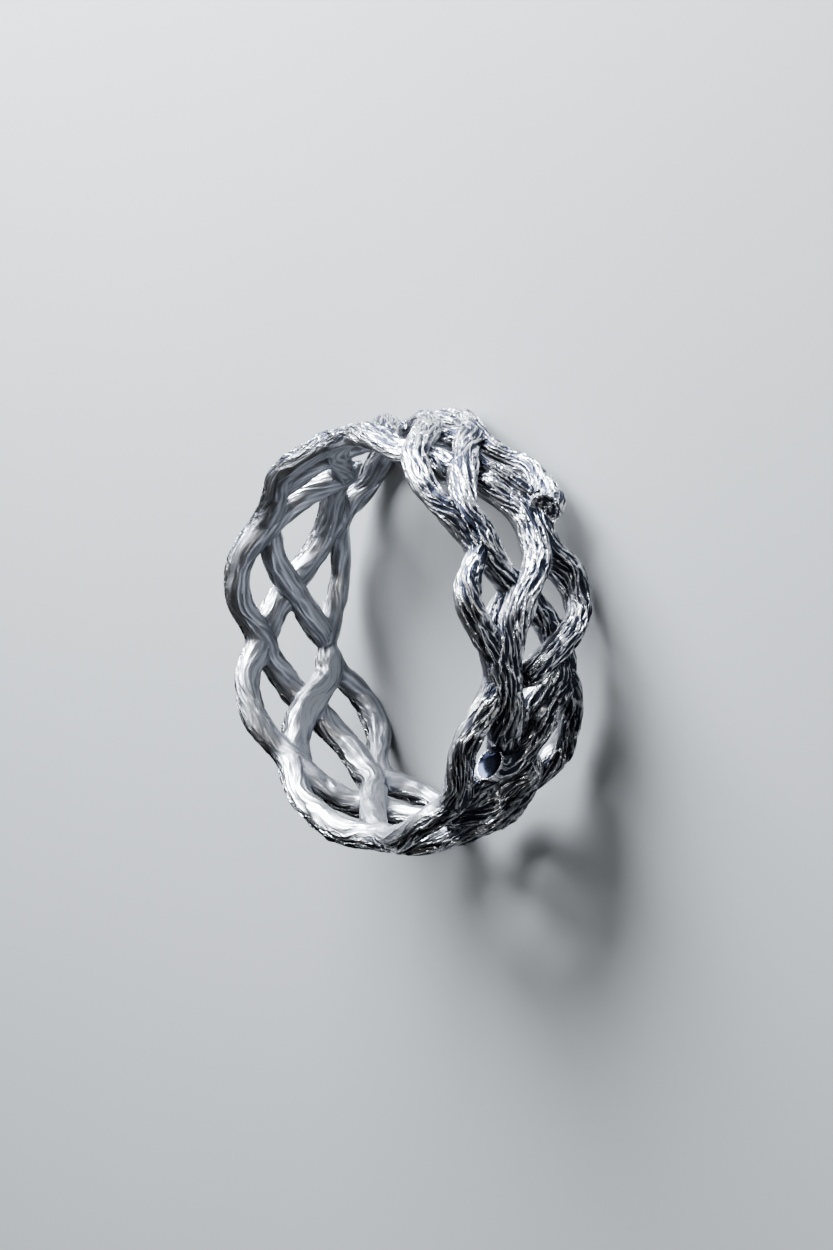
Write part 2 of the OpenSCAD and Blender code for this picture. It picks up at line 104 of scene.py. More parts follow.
# Each row is turn in degrees, across as a share of reach, lift and girth as shares of the twig
routes = {
    "nearLoops": [
        [[-43, 0.24, -0.12, 1.05], [-37, 0.33, -0.16, 1.15], [-31, 0.48, -0.28, 1.02],
         [-24, 0.63, -0.36, 1], [-14, 0.64, -0.34, 1], [-4, 0.58, -0.32, 1], [6, 0.53, -0.36, 0.92],
         [15, 0.52, -0.28, 0.88], [24.5, 0.57, -0.1, 0.88]],
        [[8, 0.5, -0.3, 0.5], [16, 0.58, -0.28, 0.85], [24, 0.7, -0.3, 0.88], [31, 0.77, -0.2, 0.9],
         [38, 0.78, -0.14, 0.9], [45, 0.7, -0.15, 0.9], [52, 0.68, -0.1, 0.9], [58, 0.74, 0, 0.85],
         [65, 0.9, 0.02, 0.8], [72, 0.98, 0.05, 0.5]],
        [[35, -0.6, -0.1, 0.5], [40, -0.38, -0.1, 0.85], [45, 0.02, -0.1, 0.9], [50, 0.32, -0.1, 0.9],
         [56, 0.58, -0.1, 0.9], [62, 0.82, -0.05, 0.9], [68, 0.97, 0, 0.9], [74, 1, 0, 0.9],
         [80, 0.93, 0, 0.9], [86, 0.75, 0, 0.9], [92, 0.6, 0, 0.9], [98, 0.52, 0, 0.5]],
        [[88, 0.55, 0, 0.5], [95, 0.7, 0, 0.9], [101, 0.9, 0, 0.9], [107, 0.99, 0, 0.9],
         [113, 1, 0, 0.9], [119, 0.93, 0, 0.9], [125, 0.78, 0, 0.9], [131, 0.65, 0, 0.9],
         [138, 0.56, 0, 0.5]],
        [[123, 0.6, 0, 0.5], [130, 0.74, 0, 0.9], [137, 0.85, 0, 0.9], [144, 0.93, 0, 0.9],
         [151, 0.94, 0, 0.9], [158, 0.93, 0, 0.9], [165, 0.9, 0, 0.9], [171, 0.81, 0, 0.9],
         [178, 0.7, 0, 0.9], [184, 0.58, 0, 0.5]],
        [[171, 0.58, 0, 0.5], [178, 0.68, 0, 0.9], [185, 0.8, 0, 0.9], [192, 0.9, 0, 0.9],
         [199, 0.94, 0, 0.9], [206, 0.92, 0, 0.9], [213, 0.8, 0, 0.9], [220, 0.68, 0, 0.9],
         [226, 0.6, 0, 0.5]],
        [[213, 0.65, 0, 0.5], [219, 0.76, 0, 0.95], [225, 0.86, 0, 0.95], [231, 0.95, 0, 0.9],
         [237, 0.99, 0, 0.92], [242, 0.95, 0, 0.92], [247, 0.84, 0, 0.9], [252, 0.71, 0, 0.9],
         [258, 0.6, 0, 0.85], [264, 0.56, 0, 0.5]],
        [[238, 0.42, -0.1, 0.5], [246, 0.5, -0.05, 0.9], [253, 0.56, 0, 0.93], [260, 0.61, 0, 0.94],
         [266, 0.7, 0, 0.95], [270, 0.8, 0, 0.93], [274, 0.91, 0, 0.9], [279, 1, 0, 0.9],
         [284, 0.94, 0, 0.9], [288, 0.8, 0, 0.85], [292, 0.65, 0, 0.8], [297, 0.56, 0, 0.8],
         [303, 0.5, 0, 0.5]],
        [[287, 0.46, 0, 0.5], [293, 0.58, 0, 0.85], [298, 0.68, 0, 0.85], [302, 0.78, 0, 0.84],
         [306, 0.87, 0, 0.82], [311, 0.93, 0, 0.82], [318, 0.95, 0.05, 0.85], [325, 0.83, 0.15, 0.9],
         [331, 0.58, 0.2, 0.9], [336, 0.3, 0.2, 0.9], [341, 0.05, 0.1, 0.9], [346, -0.17, 0.05, 0.9],
         [353, -0.38, -0.05, 0.9], [360, -0.5, -0.15, 0.9], [366, -0.6, -0.25, 0.5]],
    ],
    "farLoops": [
        [[300.2, -0.56, 0.52, 1.05], [302, -0.68, 0.38, 1.1], [304.5, -0.8, 0.27, 1.08],
         [312, -0.83, 0.2, 0.8], [317, -0.81, 0.13, 0.7], [322, -0.71, 0.03, 0.7],
         [327, -0.59, 0, 0.77], [333, -0.55, 0, 0.87], [338, -0.64, 0, 0.9], [344, -0.79, -0.05, 0.9],
         [350, -0.95, -0.1, 0.9], [357, -0.95, -0.14, 0.9], [363, -0.82, -0.2, 0.9],
         [369, -0.68, -0.3, 0.9], [376, -0.56, -0.3, 0.5]],
        [[6, -0.54, -0.3, 0.5], [13, -0.6, -0.25, 0.9], [20, -0.74, -0.15, 0.9], [27, -0.9, -0.05, 0.9],
         [34, -1, 0, 0.9], [41, -1, 0, 0.9], [48, -0.94, 0, 0.88], [54, -0.78, 0, 0.85],
         [60, -0.62, 0, 0.85], [66, -0.52, 0, 0.5]],
        [[48, -0.56, 0, 0.5], [54, -0.62, 0, 0.78], [61, -0.7, 0, 0.75], [68, -0.81, 0, 0.72],
         [75, -0.86, 0, 0.72], [82, -0.81, 0, 0.78], [88, -0.68, 0, 0.85], [93, -0.56, 0, 0.9],
         [99, -0.5, 0, 0.5]],
        [[97, -0.5, 0, 0.5], [103, -0.6, 0, 0.9], [108, -0.8, 0, 0.9], [113, -0.95, 0, 0.9],
         [119, -1, 0, 0.9], [125, -0.97, 0, 0.9], [130, -0.82, 0, 0.9], [135, -0.66, 0, 0.9],
         [141, -0.55, 0, 0.9], [147, -0.5, 0, 0.5]],
        [[138, -0.5, 0, 0.5], [143, -0.62, 0, 0.9], [147, -0.82, 0, 0.9], [152, -0.96, 0, 0.9],
         [157, -1, 0, 0.9], [162, -0.96, 0, 0.9], [167, -0.82, 0, 0.9], [172, -0.68, 0, 0.9],
         [178, -0.56, 0, 0.5]],
        [[176, -0.54, 0, 0.5], [182, -0.64, 0, 0.9], [188, -0.76, -0.02, 0.9], [194, -0.8, -0.1, 0.88],
         [200, -0.77, -0.17, 0.88], [206, -0.68, -0.2, 0.88], [212, -0.55, -0.18, 0.88],
         [218, -0.44, -0.1, 0.9], [224, -0.4, -0.05, 0.5]],
        [[217, -0.4, 0, 0.5], [223, -0.52, 0, 0.9], [228, -0.67, 0, 0.9], [232, -0.77, 0, 0.9],
         [237, -0.8, 0, 0.82], [243, -0.78, 0, 0.82], [248, -0.71, 0, 0.85], [253, -0.62, 0, 0.9],
         [259, -0.58, 0, 0.5]],
        [[255, 0.3, 0.25, 0.5], [258, 0.15, 0.3, 0.95], [261, -0.05, 0.32, 1],
         [264.5, -0.33, 0.3, 0.97], [268, -0.61, 0.2, 0.92], [272, -0.81, 0.1, 0.84],
         [276, -0.9, 0, 0.78], [281, -0.9, 0, 0.78], [285, -0.81, 0, 0.8], [289, -0.66, 0, 0.85],
         [293, -0.55, 0, 0.9], [298, -0.52, 0, 0.9], [304, -0.6, -0.1, 0.9], [310, -0.56, -0.2, 0.85],
         [316, -0.46, -0.2, 0.5]],
    ],
    "crossings": [
        [[252, -0.6, -0.15, 0.5], [258, -0.6, -0.2, 0.9], [263, -0.53, -0.2, 0.95],
         [268, -0.42, -0.25, 1], [272, -0.3, -0.25, 1], [276, -0.15, -0.25, 1], [279, 0, -0.2, 1],
         [283, 0.2, -0.1, 1], [288, 0.38, 0, 1], [293, 0.46, 0.05, 0.98], [298, 0.52, 0.1, 0.95],
         [303, 0.58, 0.1, 0.95], [308, 0.53, 0.1, 0.95], [315, 0.35, 0.1, 0.97], [322, 0.06, 0.1, 1],
         [328, -0.17, 0.1, 1], [333, -0.38, 0.05, 1], [339, -0.56, 0, 0.5]],
        [[232, 0.14, -0.3, 0.5], [236, 0.26, -0.2, 0.95], [240, 0.34, -0.05, 1.1],
         [244, 0.39, 0.05, 1.2], [249, 0.44, 0.1, 1.2], [255, 0.5, 0.15, 1.14], [261, 0.54, 0.15, 1.1],
         [266, 0.5, 0.2, 1.1], [270, 0.42, 0.2, 1.1], [274, 0.3, 0.25, 1.05], [278, 0.17, 0.28, 1],
         [282, -0.02, 0.25, 1], [286, -0.2, 0.15, 1], [290, -0.33, 0.05, 1], [295, -0.39, -0.05, 1],
         [300, -0.4, -0.1, 0.95], [305, -0.36, -0.15, 0.95], [310, -0.25, -0.2, 0.9],
         [315, -0.12, -0.25, 0.9], [320, -0.04, -0.3, 0.6]],
        [[262, 0.64, -0.1, 0.5], [268, 0.62, -0.15, 0.9], [272, 0.55, -0.25, 0.9],
         [276, 0.4, -0.3, 0.9], [280, 0.22, -0.3, 0.8], [284, 0.05, -0.3, 0.5]],
        [[214, -0.5, -0.1, 0.5], [219, -0.4, -0.2, 0.9], [224, -0.24, -0.25, 0.9],
         [229, -0.05, -0.3, 0.9], [233, 0.15, -0.25, 0.95], [237, 0.28, -0.15, 1.05],
         [241, 0.36, -0.05, 0.5]],
        [[237, 0.32, -0.3, 0.5], [240, 0.2, -0.28, 0.8], [244, 0.04, -0.25, 0.9],
         [248, -0.1, -0.2, 0.9], [252, -0.26, -0.1, 0.9], [257, -0.42, 0, 0.9],
         [262, -0.5, -0.05, 0.5]],
        [[213, 0.66, 0, 0.5], [219, 0.52, 0, 1], [225, 0.4, -0.05, 1], [231, 0.24, -0.05, 0.9],
         [237, 0.04, -0.05, 0.5]],
        [[205, 0.62, 0, 0.5], [211, 0.5, 0.1, 1], [215, 0.22, 0.15, 1.15], [219, 0, 0.15, 1.2],
         [223, -0.12, 0.15, 1.2], [228, -0.24, 0.1, 1.1], [234, -0.3, 0.05, 0.5]],
        [[173, 0.55, 0.1, 0.5], [180, 0.5, 0.15, 0.9], [186, 0.4, 0.2, 0.95], [192, 0.2, 0.2, 1],
         [198, -0.02, 0.18, 1], [204, -0.22, 0.1, 1], [210, -0.38, 0.02, 0.95],
         [217, -0.46, -0.05, 0.9], [224, -0.52, -0.05, 0.5]],
        [[173, -0.52, -0.1, 0.5], [180, -0.48, -0.15, 0.9], [187, -0.34, -0.2, 0.9],
         [193, -0.12, -0.2, 0.9], [198, 0.08, -0.2, 0.9], [204, 0.32, -0.2, 0.9], [210, 0.5, -0.1, 0.9],
         [216, 0.58, -0.1, 0.5]],
        [[86, 0.6, 0, 0.5], [92, 0.55, 0, 0.9], [97, 0.46, 0.1, 0.9], [102, 0.32, 0.15, 0.95],
         [108, 0.14, 0.18, 1], [114, -0.06, 0.15, 1], [119, -0.2, 0.1, 1], [125, -0.33, 0.05, 0.95],
         [131, -0.38, 0, 0.95], [138, -0.37, 0, 0.95], [144, -0.3, -0.1, 0.95],
         [149, -0.16, -0.15, 0.95], [154, 0.02, -0.18, 0.9], [160, 0.24, -0.15, 0.9],
         [166, 0.42, -0.1, 0.9], [172, 0.54, 0, 0.9], [178, 0.6, 0, 0.5]],
        [[94, -0.55, 0, 0.5], [100, -0.52, -0.1, 0.9], [105, -0.42, -0.15, 0.9], [108, -0.26, -0.18, 1],
         [112, -0.02, -0.18, 1.05], [116, 0.22, -0.15, 1.05], [120, 0.4, -0.1, 1.05],
         [126, 0.54, -0.05, 1], [132, 0.62, 0, 0.95], [137, 0.57, 0, 0.95], [141, 0.43, 0.1, 0.95],
         [145, 0.27, 0.15, 0.95], [149, 0.08, 0.18, 0.95], [154, -0.13, 0.15, 0.95],
         [160, -0.34, 0.1, 0.9], [168, -0.48, 0, 0.9], [176, -0.55, 0, 0.5]],
        [[36, -0.2, 0, 0.5], [42, -0.36, 0, 0.9], [49, -0.44, 0, 0.9], [56, -0.5, 0, 0.9],
         [63, -0.5, 0.1, 0.9], [69, -0.4, 0.15, 0.9], [74, -0.2, 0.18, 0.95], [79, 0.04, 0.18, 0.95],
         [84, 0.26, 0.15, 0.95], [89, 0.42, 0.1, 0.9], [95, 0.52, 0, 0.5]],
        [[56, 0.5, 0, 0.5], [62, 0.48, 0, 0.85], [67, 0.42, -0.1, 0.85], [72, 0.28, -0.15, 0.9],
         [77, 0.1, -0.18, 0.9], [82, -0.08, -0.18, 0.9], [87, -0.26, -0.15, 0.9],
         [92, -0.42, -0.1, 0.9], [98, -0.52, 0, 0.5]],
        [[2, 0.52, -0.35, 0.5], [9, 0.47, -0.34, 0.85], [15, 0.4, -0.32, 0.85], [21, 0.26, -0.3, 0.85],
         [27, 0.08, -0.25, 0.85], [33, -0.14, -0.15, 0.9], [39, -0.34, -0.1, 0.9],
         [46, -0.46, -0.05, 0.5]],
        [[4, -0.54, -0.3, 0.5], [11, -0.46, -0.26, 0.85], [17, -0.3, -0.2, 0.85],
         [22, -0.12, -0.12, 0.85], [27, 0.1, -0.1, 0.85], [32, 0.34, -0.14, 0.85],
         [38, 0.55, -0.22, 0.85], [45, 0.66, -0.24, 0.5]],
        [[-18, 0.58, -0.36, 0.5], [-11, 0.46, -0.3, 0.9], [-5, 0.28, -0.18, 0.95],
         [1, 0.04, -0.14, 0.98], [6, -0.2, -0.22, 0.9], [12, -0.42, -0.26, 0.85],
         [19, -0.62, -0.2, 0.5]],
        [[331, -0.5, -0.05, 0.6], [335, -0.44, -0.15, 0.85], [339, -0.3, -0.2, 0.9],
         [342, -0.08, -0.2, 0.85], [344, 0.12, -0.1, 0.5]],
        [[292, -0.42, -0.2, 0.5], [288, -0.57, -0.3, 0.72], [284, -0.73, -0.34, 0.75],
         [279.5, -0.86, -0.34, 0.75], [275, -0.88, -0.3, 0.75], [270, -0.76, -0.2, 0.5]],
    ],
    "offshoots": [
        [[233, 0.55, 0.22, 1.12], [232, 0.44, 0.27, 1.08], [231.8, 0.3, 0.26, 1.02],
         [233, 0.12, 0.2, 1], [237, -0.07, 0.16, 1], [241, -0.17, 0.15, 0.95], [246, -0.28, 0.15, 0.95],
         [252, -0.42, 0.1, 1], [259, -0.58, 0, 0.5]],
        [[306.5, -0.57, 0.3, 0.5], [309, -0.53, 0.26, 0.5], [312, -0.46, 0.2, 0.5],
         [316, -0.34, 0.15, 0.52], [320, -0.2, 0.1, 0.55], [325, -0.1, 0.1, 0.5]],
    ],
}

# Turn and across of the two ends of each web that fills a fork
webs = [
    [17, 0.5, 24, 0.62], [14, -0.5, 22, -0.66], [57, 0.62, 51, 0.7], [58, -0.58, 52, -0.66],
    [94, 0.55, 99, 0.66], [97, -0.52, 103, -0.55], [134, 0.6, 128, 0.66], [141, -0.46, 146, -0.6],
    [177, 0.6, 171, 0.7], [176, -0.54, 182, -0.6], [217, 0.62, 223, 0.7], [217, -0.48, 223, -0.46],
    [258, 0.6, 252, 0.68], [257, -0.6, 252, -0.62], [296, 0.58, 301, 0.68], [296, -0.5, 290, -0.52],
    [334, -0.5, 340, -0.62], [307, 0.68, 303, 0.66],
]

# The bark, in mm unless it says otherwise
bark = {
    "seed": 7,
    "ridgeGap": 0.3,  # from ridge to ridge round a twig
    "fewest": 8,  # ridges round a thin twig
    "ridgeTop": 0.28,  # width of a ridge's worn top, as a share of that gap
    "topVaries": 0.4,  # how far that width varies along a ridge, as a share of it
    "topLimit": 1.5,  # most of that, as a multiple
    "topRoom": 0.4,  # most that half a top takes of the gap to the next ridge, as a share of it
    "push": 0.36,  # how far an open groove pushes the ridges beside it apart, as a share of that gap
    "depth": 0.19,  # of the deepest groove
    "shallow": 0.2,  # share of the depth that is left where a groove closes
    "steep": 0.8,  # power by which a groove deepens as it opens
    "fullDepth": 0.6,  # radius of the thinnest twig that has grooves of the full depth
    "insideDepth": 0.5,  # share of the depth that is left on the side that touches the finger
    "lens": 1.6,  # length of a lens-shaped groove
    "lengths": [0.6, 1, 1, 2],  # one of these is drawn for each groove, as a share of the lens
    "shift": 0.22,  # most that an end of a groove moves, as a share of the lens
    "narrow": 0.35,  # width of the narrowest groove, as a share of the widest
    "blunt": 0.7,  # power that rounds a groove's ends
    "twist": 8,  # most degrees that the ridges turn in each mm
    "waver": 0.22,  # radians that they sway from side to side
    "lumps": 0.06,  # rise and fall of the ridges, as a share of the radius
    "dip": -2,  # most that a single ridge falls, as a multiple of that
    "crest": 0.6,  # most that it rises, the same way
    "roll": 0.6,  # rise and fall of the whole twig, the same way
    "lowest": -0.2,  # limits of both together, as shares of the radius
    "highest": 0.04,
    "lumpShade": 3,  # how much a fall keeps the black, for each share of the radius
    "runs": {"top": 4, "sway": 10, "lump": 3, "roll": 7},  # rings each way over which a curve is smoothed
    "taper": 0.7,  # length over which an end narrows into the twig that it joins
    "taperEnd": 0.12,  # share of the twig's section that is left there
    "fillet": 0.4,  # how far the metal of two twigs runs together where they meet
    "swell": 0.25,  # most that it swells there, as a share of the fillet
    "lean": 0.5,  # most of the swelling that goes away from the other twig
    "buried": 0.6,  # depth inside the other twig at which it ends, as a share of the fillet
    "patternSize": 50,  # of the stretch that each twig's part of the fine pattern is drawn from
}

# The knots on the bark, in mm: turn, across and lift of each. The solid has the first eight
knots = {
    "rows": [[308, 0.62, 0.2], [255, 0.7, 0.22], [286, 0.92, 0.25], [246, -0.2, 0.25], [72, 0.98, 0.25],
             [126, -0.95, 0.22], [160, 0.92, 0.25], [38, -1, 0.2], [307, -0.57, 0.2], [306.7, 0.85, 0.32]],
    "girth": 0.52,  # as a share of a full twig
    "shape": [(-1.8, 0.4), (-0.9, 1), (0.9, 1), (1.8, 0.4)],  # degrees from its middle, and its girth there
    "above": 0.38,  # from the middle of a knot to its top
    "size": 0.33,  # radius of the boss
    "rise": 0.14,  # height of the boss
    "eye": 0.15,  # radius of the hollow in it
    "hollow": 0.2,  # depth of the hollow
    "edge": 3,  # how sharply it ends where the twig turns away from the outside
    "bright": 0.4,  # how much the boss is polished
    "dark": 1.2,  # how much the hollow is blackened
}

# The sawn ends of two twigs, in mm: a bowl inside a bright rim. The first has small cells and rings in it
sawnEnds = {
    "farLoops0": {
        "bowl": 0.1,  # depth in the middle
        "cells": 14,
        "cellRadius": 0.09,
        "cellDepth": 0.08,
        "floor": 0.6,  # height of the bark that the face is shaded as
        "rings": 2.5,
        "ringHeight": 0.6,  # how far that rises and falls from ring to ring
        "ringRise": 0.03,  # how far the rings stand out
        "rim": 1.5,  # height of the bark that the rim is shaded as
        "smooth": 0.2,  # how far the face is shaded as the side that touches the finger
    },
    "offshoots0": {
        "bowl": 0.1, "cells": 0, "cellDepth": 0,
        "floor": -2, "rings": 0, "ringHeight": 0, "ringRise": 0, "rim": 1.8, "smooth": 0,
    },
}

# What the two faces share
sawnShape = {
    "blend": (1, 0.7, 0.4),  # how far the first rings of bark are drawn to the round rim
    "flare": 1.02,  # radius of the rim, as a share of the twig's
    # radii of the rings of points inside the rim, as shares of its own
    "steps": (0.1, 0.2, 0.3, 0.4, 0.49, 0.58, 0.66, 0.74, 0.81, 0.87, 0.92, 0.96),
    "spread": 0.75,  # share of the face that has cells
    "oval": 0.2,  # how far the rings bend in and out, in rings
    "rimFrom": 0.9,  # share of the radius where the bright rim starts
    "cellShade": 0.9,  # how much a cell is blackened
}

# Where the twigs' surfaces meet after the union
seams = {
    "rings": 3,  # of points beside a seam that move with it
    "fade": 0.7,  # share of the move that each passes on to the next
    "steps": 5,
    "draw": 0.6,  # how far a point moves to the middle of its neighbours in each step
}


def place(rows):
    r = middleRadius + rows[:, 2] * band["twig"]
    turn = np.radians(rows[:, 0])
    across = np.clip(rows[:, 1], -1, 1) * reach
    return np.stack([r * np.cos(turn), r * np.sin(turn), band["width"] / 2 + across], 1)


def smoothed(route, gap):
    rows = np.array(route, float)
    last = len(rows) - 1
    travel = np.linalg.norm(np.diff(place(rows), axis=0), axis=1).sum()
    count = max(last, round(travel / gap))
    at = np.arange(count + 1) * last / count
    n = np.minimum(at.astype(int), last - 1)
    u = (at - n)[:, None]
    a, b, c, d = rows[np.maximum(n - 1, 0)], rows[n], rows[n + 1], rows[np.minimum(n + 2, last)]
    return (2 * b + (c - a) * u + (2 * a - 5 * b + 4 * c - d) * u**2 + (3 * b - a - 3 * c + d) * u**3) / 2


def unit(v):
    return v / np.linalg.norm(v, axis=-1, keepdims=True)


def wander(dice, count, reachRings, columns=1):
    # smooth random curves along a twig, about -1 to 1
    window = np.hanning(2 * reachRings + 1)
    raw = dice.normal(size=(count + 2 * reachRings, columns))
    curves = np.stack([np.convolve(raw[:, j], window, "valid") for j in range(columns)], 1)
    return curves / np.sqrt((window**2).sum())


def layOut(route, name):
    # the middle line of a twig, with its directions, radius and travel
    rows = smoothed(route, band["ringGap"])
    middle = place(rows)
    ahead = [middle[1:2] - middle[:1], middle[2:] - middle[:-2], middle[-1:] - middle[-2:-1]]
    along = unit(np.concatenate(ahead))
    turn = np.radians(rows[:, 0])
    radial = np.stack([np.cos(turn), np.sin(turn), 0 * turn], 1)
    out = unit(radial - along * (radial * along).sum(1, keepdims=True))
    steps = np.linalg.norm(np.diff(middle, axis=0), axis=1)
    travel = np.concatenate([[0], np.cumsum(steps)])
    radius = band["twig"] * rows[:, 3] / 2
    ends = [travel[-1] - travel] if name in sawnEnds else [travel, travel[-1] - travel]
    for far in ends:
        radius = radius * np.sqrt(np.clip(far / bark["taper"], bark["taperEnd"], 1))
    return {
        "name": name, "middle": middle, "along": along, "out": out, "side": np.cross(along, out),
        "radius": radius, "travel": travel,
    }


def openGrooves(dice, travel, grooves):
    # how wide each groove stands open along the twig, 0 to 1: a row of lenses for each groove,
    # half a lens further on in every second one, so that the ridges meet and part like a net
    width = np.zeros((len(travel), grooves))
    for j in range(grooves):
        start = -bark["lens"] * (1 + 0.5 * (j % 2))
        while start < travel[-1]:
            length = bark["lens"] * dice.choice(bark["lengths"])
            ends = start + dice.uniform(-bark["shift"], bark["shift"], 2) * bark["lens"] + (0, length)
            x = np.clip((travel - ends[0]) / (ends[1] - ends[0]), 0, 1)
            lens = dice.uniform(bark["narrow"], 1) * np.sin(math.pi * x)**bark["blunt"]
            width[:, j] = np.maximum(width[:, j], lens)
            start += length
    return width


def barkTwig(twig, dice):
    # rings of points round the twig, three to a ridge: two on its top and one in the groove beside it
    radius, travel, runs = twig["radius"], twig["travel"], bark["runs"]
    rings = len(travel)
    ridges = max(bark["fewest"], round(2 * math.pi * np.median(radius) / bark["ridgeGap"]))
    pitch = 2 * math.pi / ridges
    groove = openGrooves(dice, travel, ridges)
    centre = pitch * (np.arange(ridges) + bark["push"] * (np.roll(groove, 1, 1) - groove))
    between = np.roll(centre, -1, 1) - centre
    between[:, -1] += 2 * math.pi
    room = np.minimum(between, np.roll(between, 1, 1))
    varied = wander(dice, rings, runs["top"], ridges).clip(-bark["topLimit"], bark["topLimit"])
    top = pitch * bark["ridgeTop"] * (1 + bark["topVaries"] * varied)
    half = np.minimum(top / 2, bark["topRoom"] * room)
    left, right = centre - half, centre + half
    floor = (right + np.roll(left, -1, 1)) / 2
    floor[:, -1] += math.pi
    angle = np.stack([left, right, floor], 2).reshape(rings, -1)
    sway = wander(dice, rings, runs["sway"], 3) * bark["waver"]
    twist = np.radians(dice.uniform(-1, 1) * bark["twist"])
    drift = twist * travel + sway[:, 2] + dice.uniform(0, 2 * math.pi)
    angle = angle + sway[:, :1] * np.cos(angle) + sway[:, 1:2] * np.sin(angle)
    around = angle + drift[:, None]
    inside = np.clip(0.5 - np.cos(around), 0, 1)  # 1 on the side of the bore
    open_ = bark["shallow"] + (1 - bark["shallow"]) * groove**bark["steep"]
    cut = np.stack([0 * groove, 0 * groove, open_], 2).reshape(rings, -1)
    thin = np.minimum(1, radius[:, None] / bark["fullDepth"])
    depth = bark["depth"] * (1 - (1 - bark["insideDepth"]) * inside) * thin
    rise = wander(dice, rings, runs["lump"], ridges).clip(bark["dip"], bark["crest"])
    rise = rise + bark["roll"] * wander(dice, rings, runs["roll"])
    lumps = np.repeat(bark["lumps"] * rise, 3, 1).clip(bark["lowest"], bark["highest"])
    r = radius[:, None] * (1 + lumps) - depth * cut
    out, side = twig["out"][:, None], twig["side"][:, None]
    normal = np.cos(around)[..., None] * out + np.sin(around)[..., None] * side
    points = twig["middle"][:, None] + r[..., None] * normal
    grain = np.stack([radius[:, None] * np.cos(angle), radius[:, None] * np.sin(angle),
                      np.broadcast_to(travel[:, None], angle.shape)], 2)
    worn = 1 - cut + np.minimum(lumps, 0) * bark["lumpShade"]
    grain = grain + dice.uniform(0, bark["patternSize"], 3)
    return {"points": points, "normal": normal, "ridge": worn, "inside": inside, "grain": grain}


def sawnFace(skin, twig, face, dice):
    # the bark closes to a round rim at the twig's start, and rings of points make the face inside it
    centre, inward, size = twig["middle"][0], twig["along"][0], twig["radius"][0]
    for n, share in enumerate(sawnShape["blend"]):
        round_ = twig["middle"][n] + sawnShape["flare"] * twig["radius"][n] * skin["normal"][n]
        skin["points"][n] += share * (round_ - skin["points"][n])
        skin["ridge"][n] += share * (face["rim"] - skin["ridge"][n])
    ring = skin["points"][0]
    far = size * np.sqrt(dice.uniform(0, sawnShape["spread"], face["cells"]))
    turn = dice.uniform(0, 2 * math.pi, face["cells"])
    cells = far[:, None] * np.stack([np.cos(turn), np.sin(turn)], 1)
    rows = {key: [] for key in skin}
    for share in sawnShape["steps"]:
        flat = (ring - centre) * share
        across = np.stack([flat @ twig["out"][0], flat @ twig["side"][0]], 1)
        bend = sawnShape["oval"] * np.sin(2 * np.arctan2(across[:, 1], across[:, 0]))
        swirl = share * face["rings"] + bend
        hole = np.zeros(len(ring))
        if len(cells):
            gap = np.linalg.norm(across[:, None] - cells, axis=2).min(1)
            hole = np.exp(-(gap / face["cellRadius"])**2)
        wave = np.cos(2 * math.pi * swirl)
        sunk = face["bowl"] * (1 - share**4) + face["cellDepth"] * hole - face["ringRise"] * wave
        rows["points"].append(centre + flat + inward * sunk[:, None])
        rows["normal"].append(np.broadcast_to(-inward, flat.shape))
        onRim = share > sawnShape["rimFrom"]
        floor = face["floor"] + face["ringHeight"] * wave
        rows["ridge"].append((face["rim"] if onRim else floor) - sawnShape["cellShade"] * hole)
        rows["inside"].append(np.full(len(ring), 0 if onRim else face["smooth"]))
        rows["jointPatinaAndShade"].append(np.zeros(len(ring)))
        rows["grain"].append(np.concatenate([across, across[:, :1]], 1))
    for key in skin:
        skin[key] = np.concatenate([rows[key], skin[key]])


def nearOthers(points, twigs, own):
    # distance from each point to the nearest other twig, and the direction away from it
    middles = np.concatenate([t["middle"] for i, t in enumerate(twigs) if i != own])
    radii = np.concatenate([t["radius"] for i, t in enumerate(twigs) if i != own])
    flat = points.reshape(-1, 3)
    away = np.zeros_like(flat)
    gap = np.zeros(len(flat))
    atOnce = 2000  # points, which keeps the tables small
    for start in range(0, len(flat), atOnce):
        some = flat[start:start + atOnce]
        squares = (some**2).sum(1)[:, None] + (middles**2).sum(1) - 2 * some @ middles.T
        near = np.sqrt(np.maximum(squares, 1e-9)) - radii
        first = near.argmin(1)
        gap[start:start + atOnce] = near[np.arange(len(some)), first]
        away[start:start + atOnce] = unit(some - middles[first])
    return gap.reshape(points.shape[:-1]), away.reshape(points.shape)


def runTogether(skin, gap, away):
    # the metal swells where two twigs meet, so the joint is a fillet and no crease
    size, buried = bark["fillet"], bark["buried"] * bark["fillet"]
    closeness = 1 - np.clip(gap, 0, size) / size
    within = 1 + np.clip(gap, -buried, 0) / buried
    swell = bark["swell"] * size * closeness**2 * within
    lean = bark["lean"] * closeness[..., None]
    skin["points"] += swell[..., None] * ((1 - lean) * skin["normal"] + lean * away)
    # how near another twig is; the material blackens the joints by it, partly as patina kept in the joints
    # and partly as painted shade
    skin["jointPatinaAndShade"] = np.clip(1 - gap / size, 0, 1)


def raiseKnots(skin):
    # a knot is a low boss with a hollow eye, on the side of a twig that faces out
    radial = skin["points"] * (1, 1, 0)
    facing = (unit(radial) * skin["normal"]).sum(-1)
    for middle in place(np.array(knots["rows"])):
        top = middle + unit(middle * (1, 1, 0)) * knots["above"]
        far = np.linalg.norm(skin["points"] - top, axis=-1)
        boss = np.exp(-(far / knots["size"])**4) * np.clip(knots["edge"] * facing, 0, 1)
        eye = np.exp(-(far / knots["eye"])**2) * np.clip(knots["edge"] * facing, 0, 1)
        skin["points"] += (knots["rise"] * boss - knots["hollow"] * eye)[..., None] * skin["normal"]
        skin["ridge"] = skin["ridge"] + knots["bright"] * boss - knots["dark"] * eye


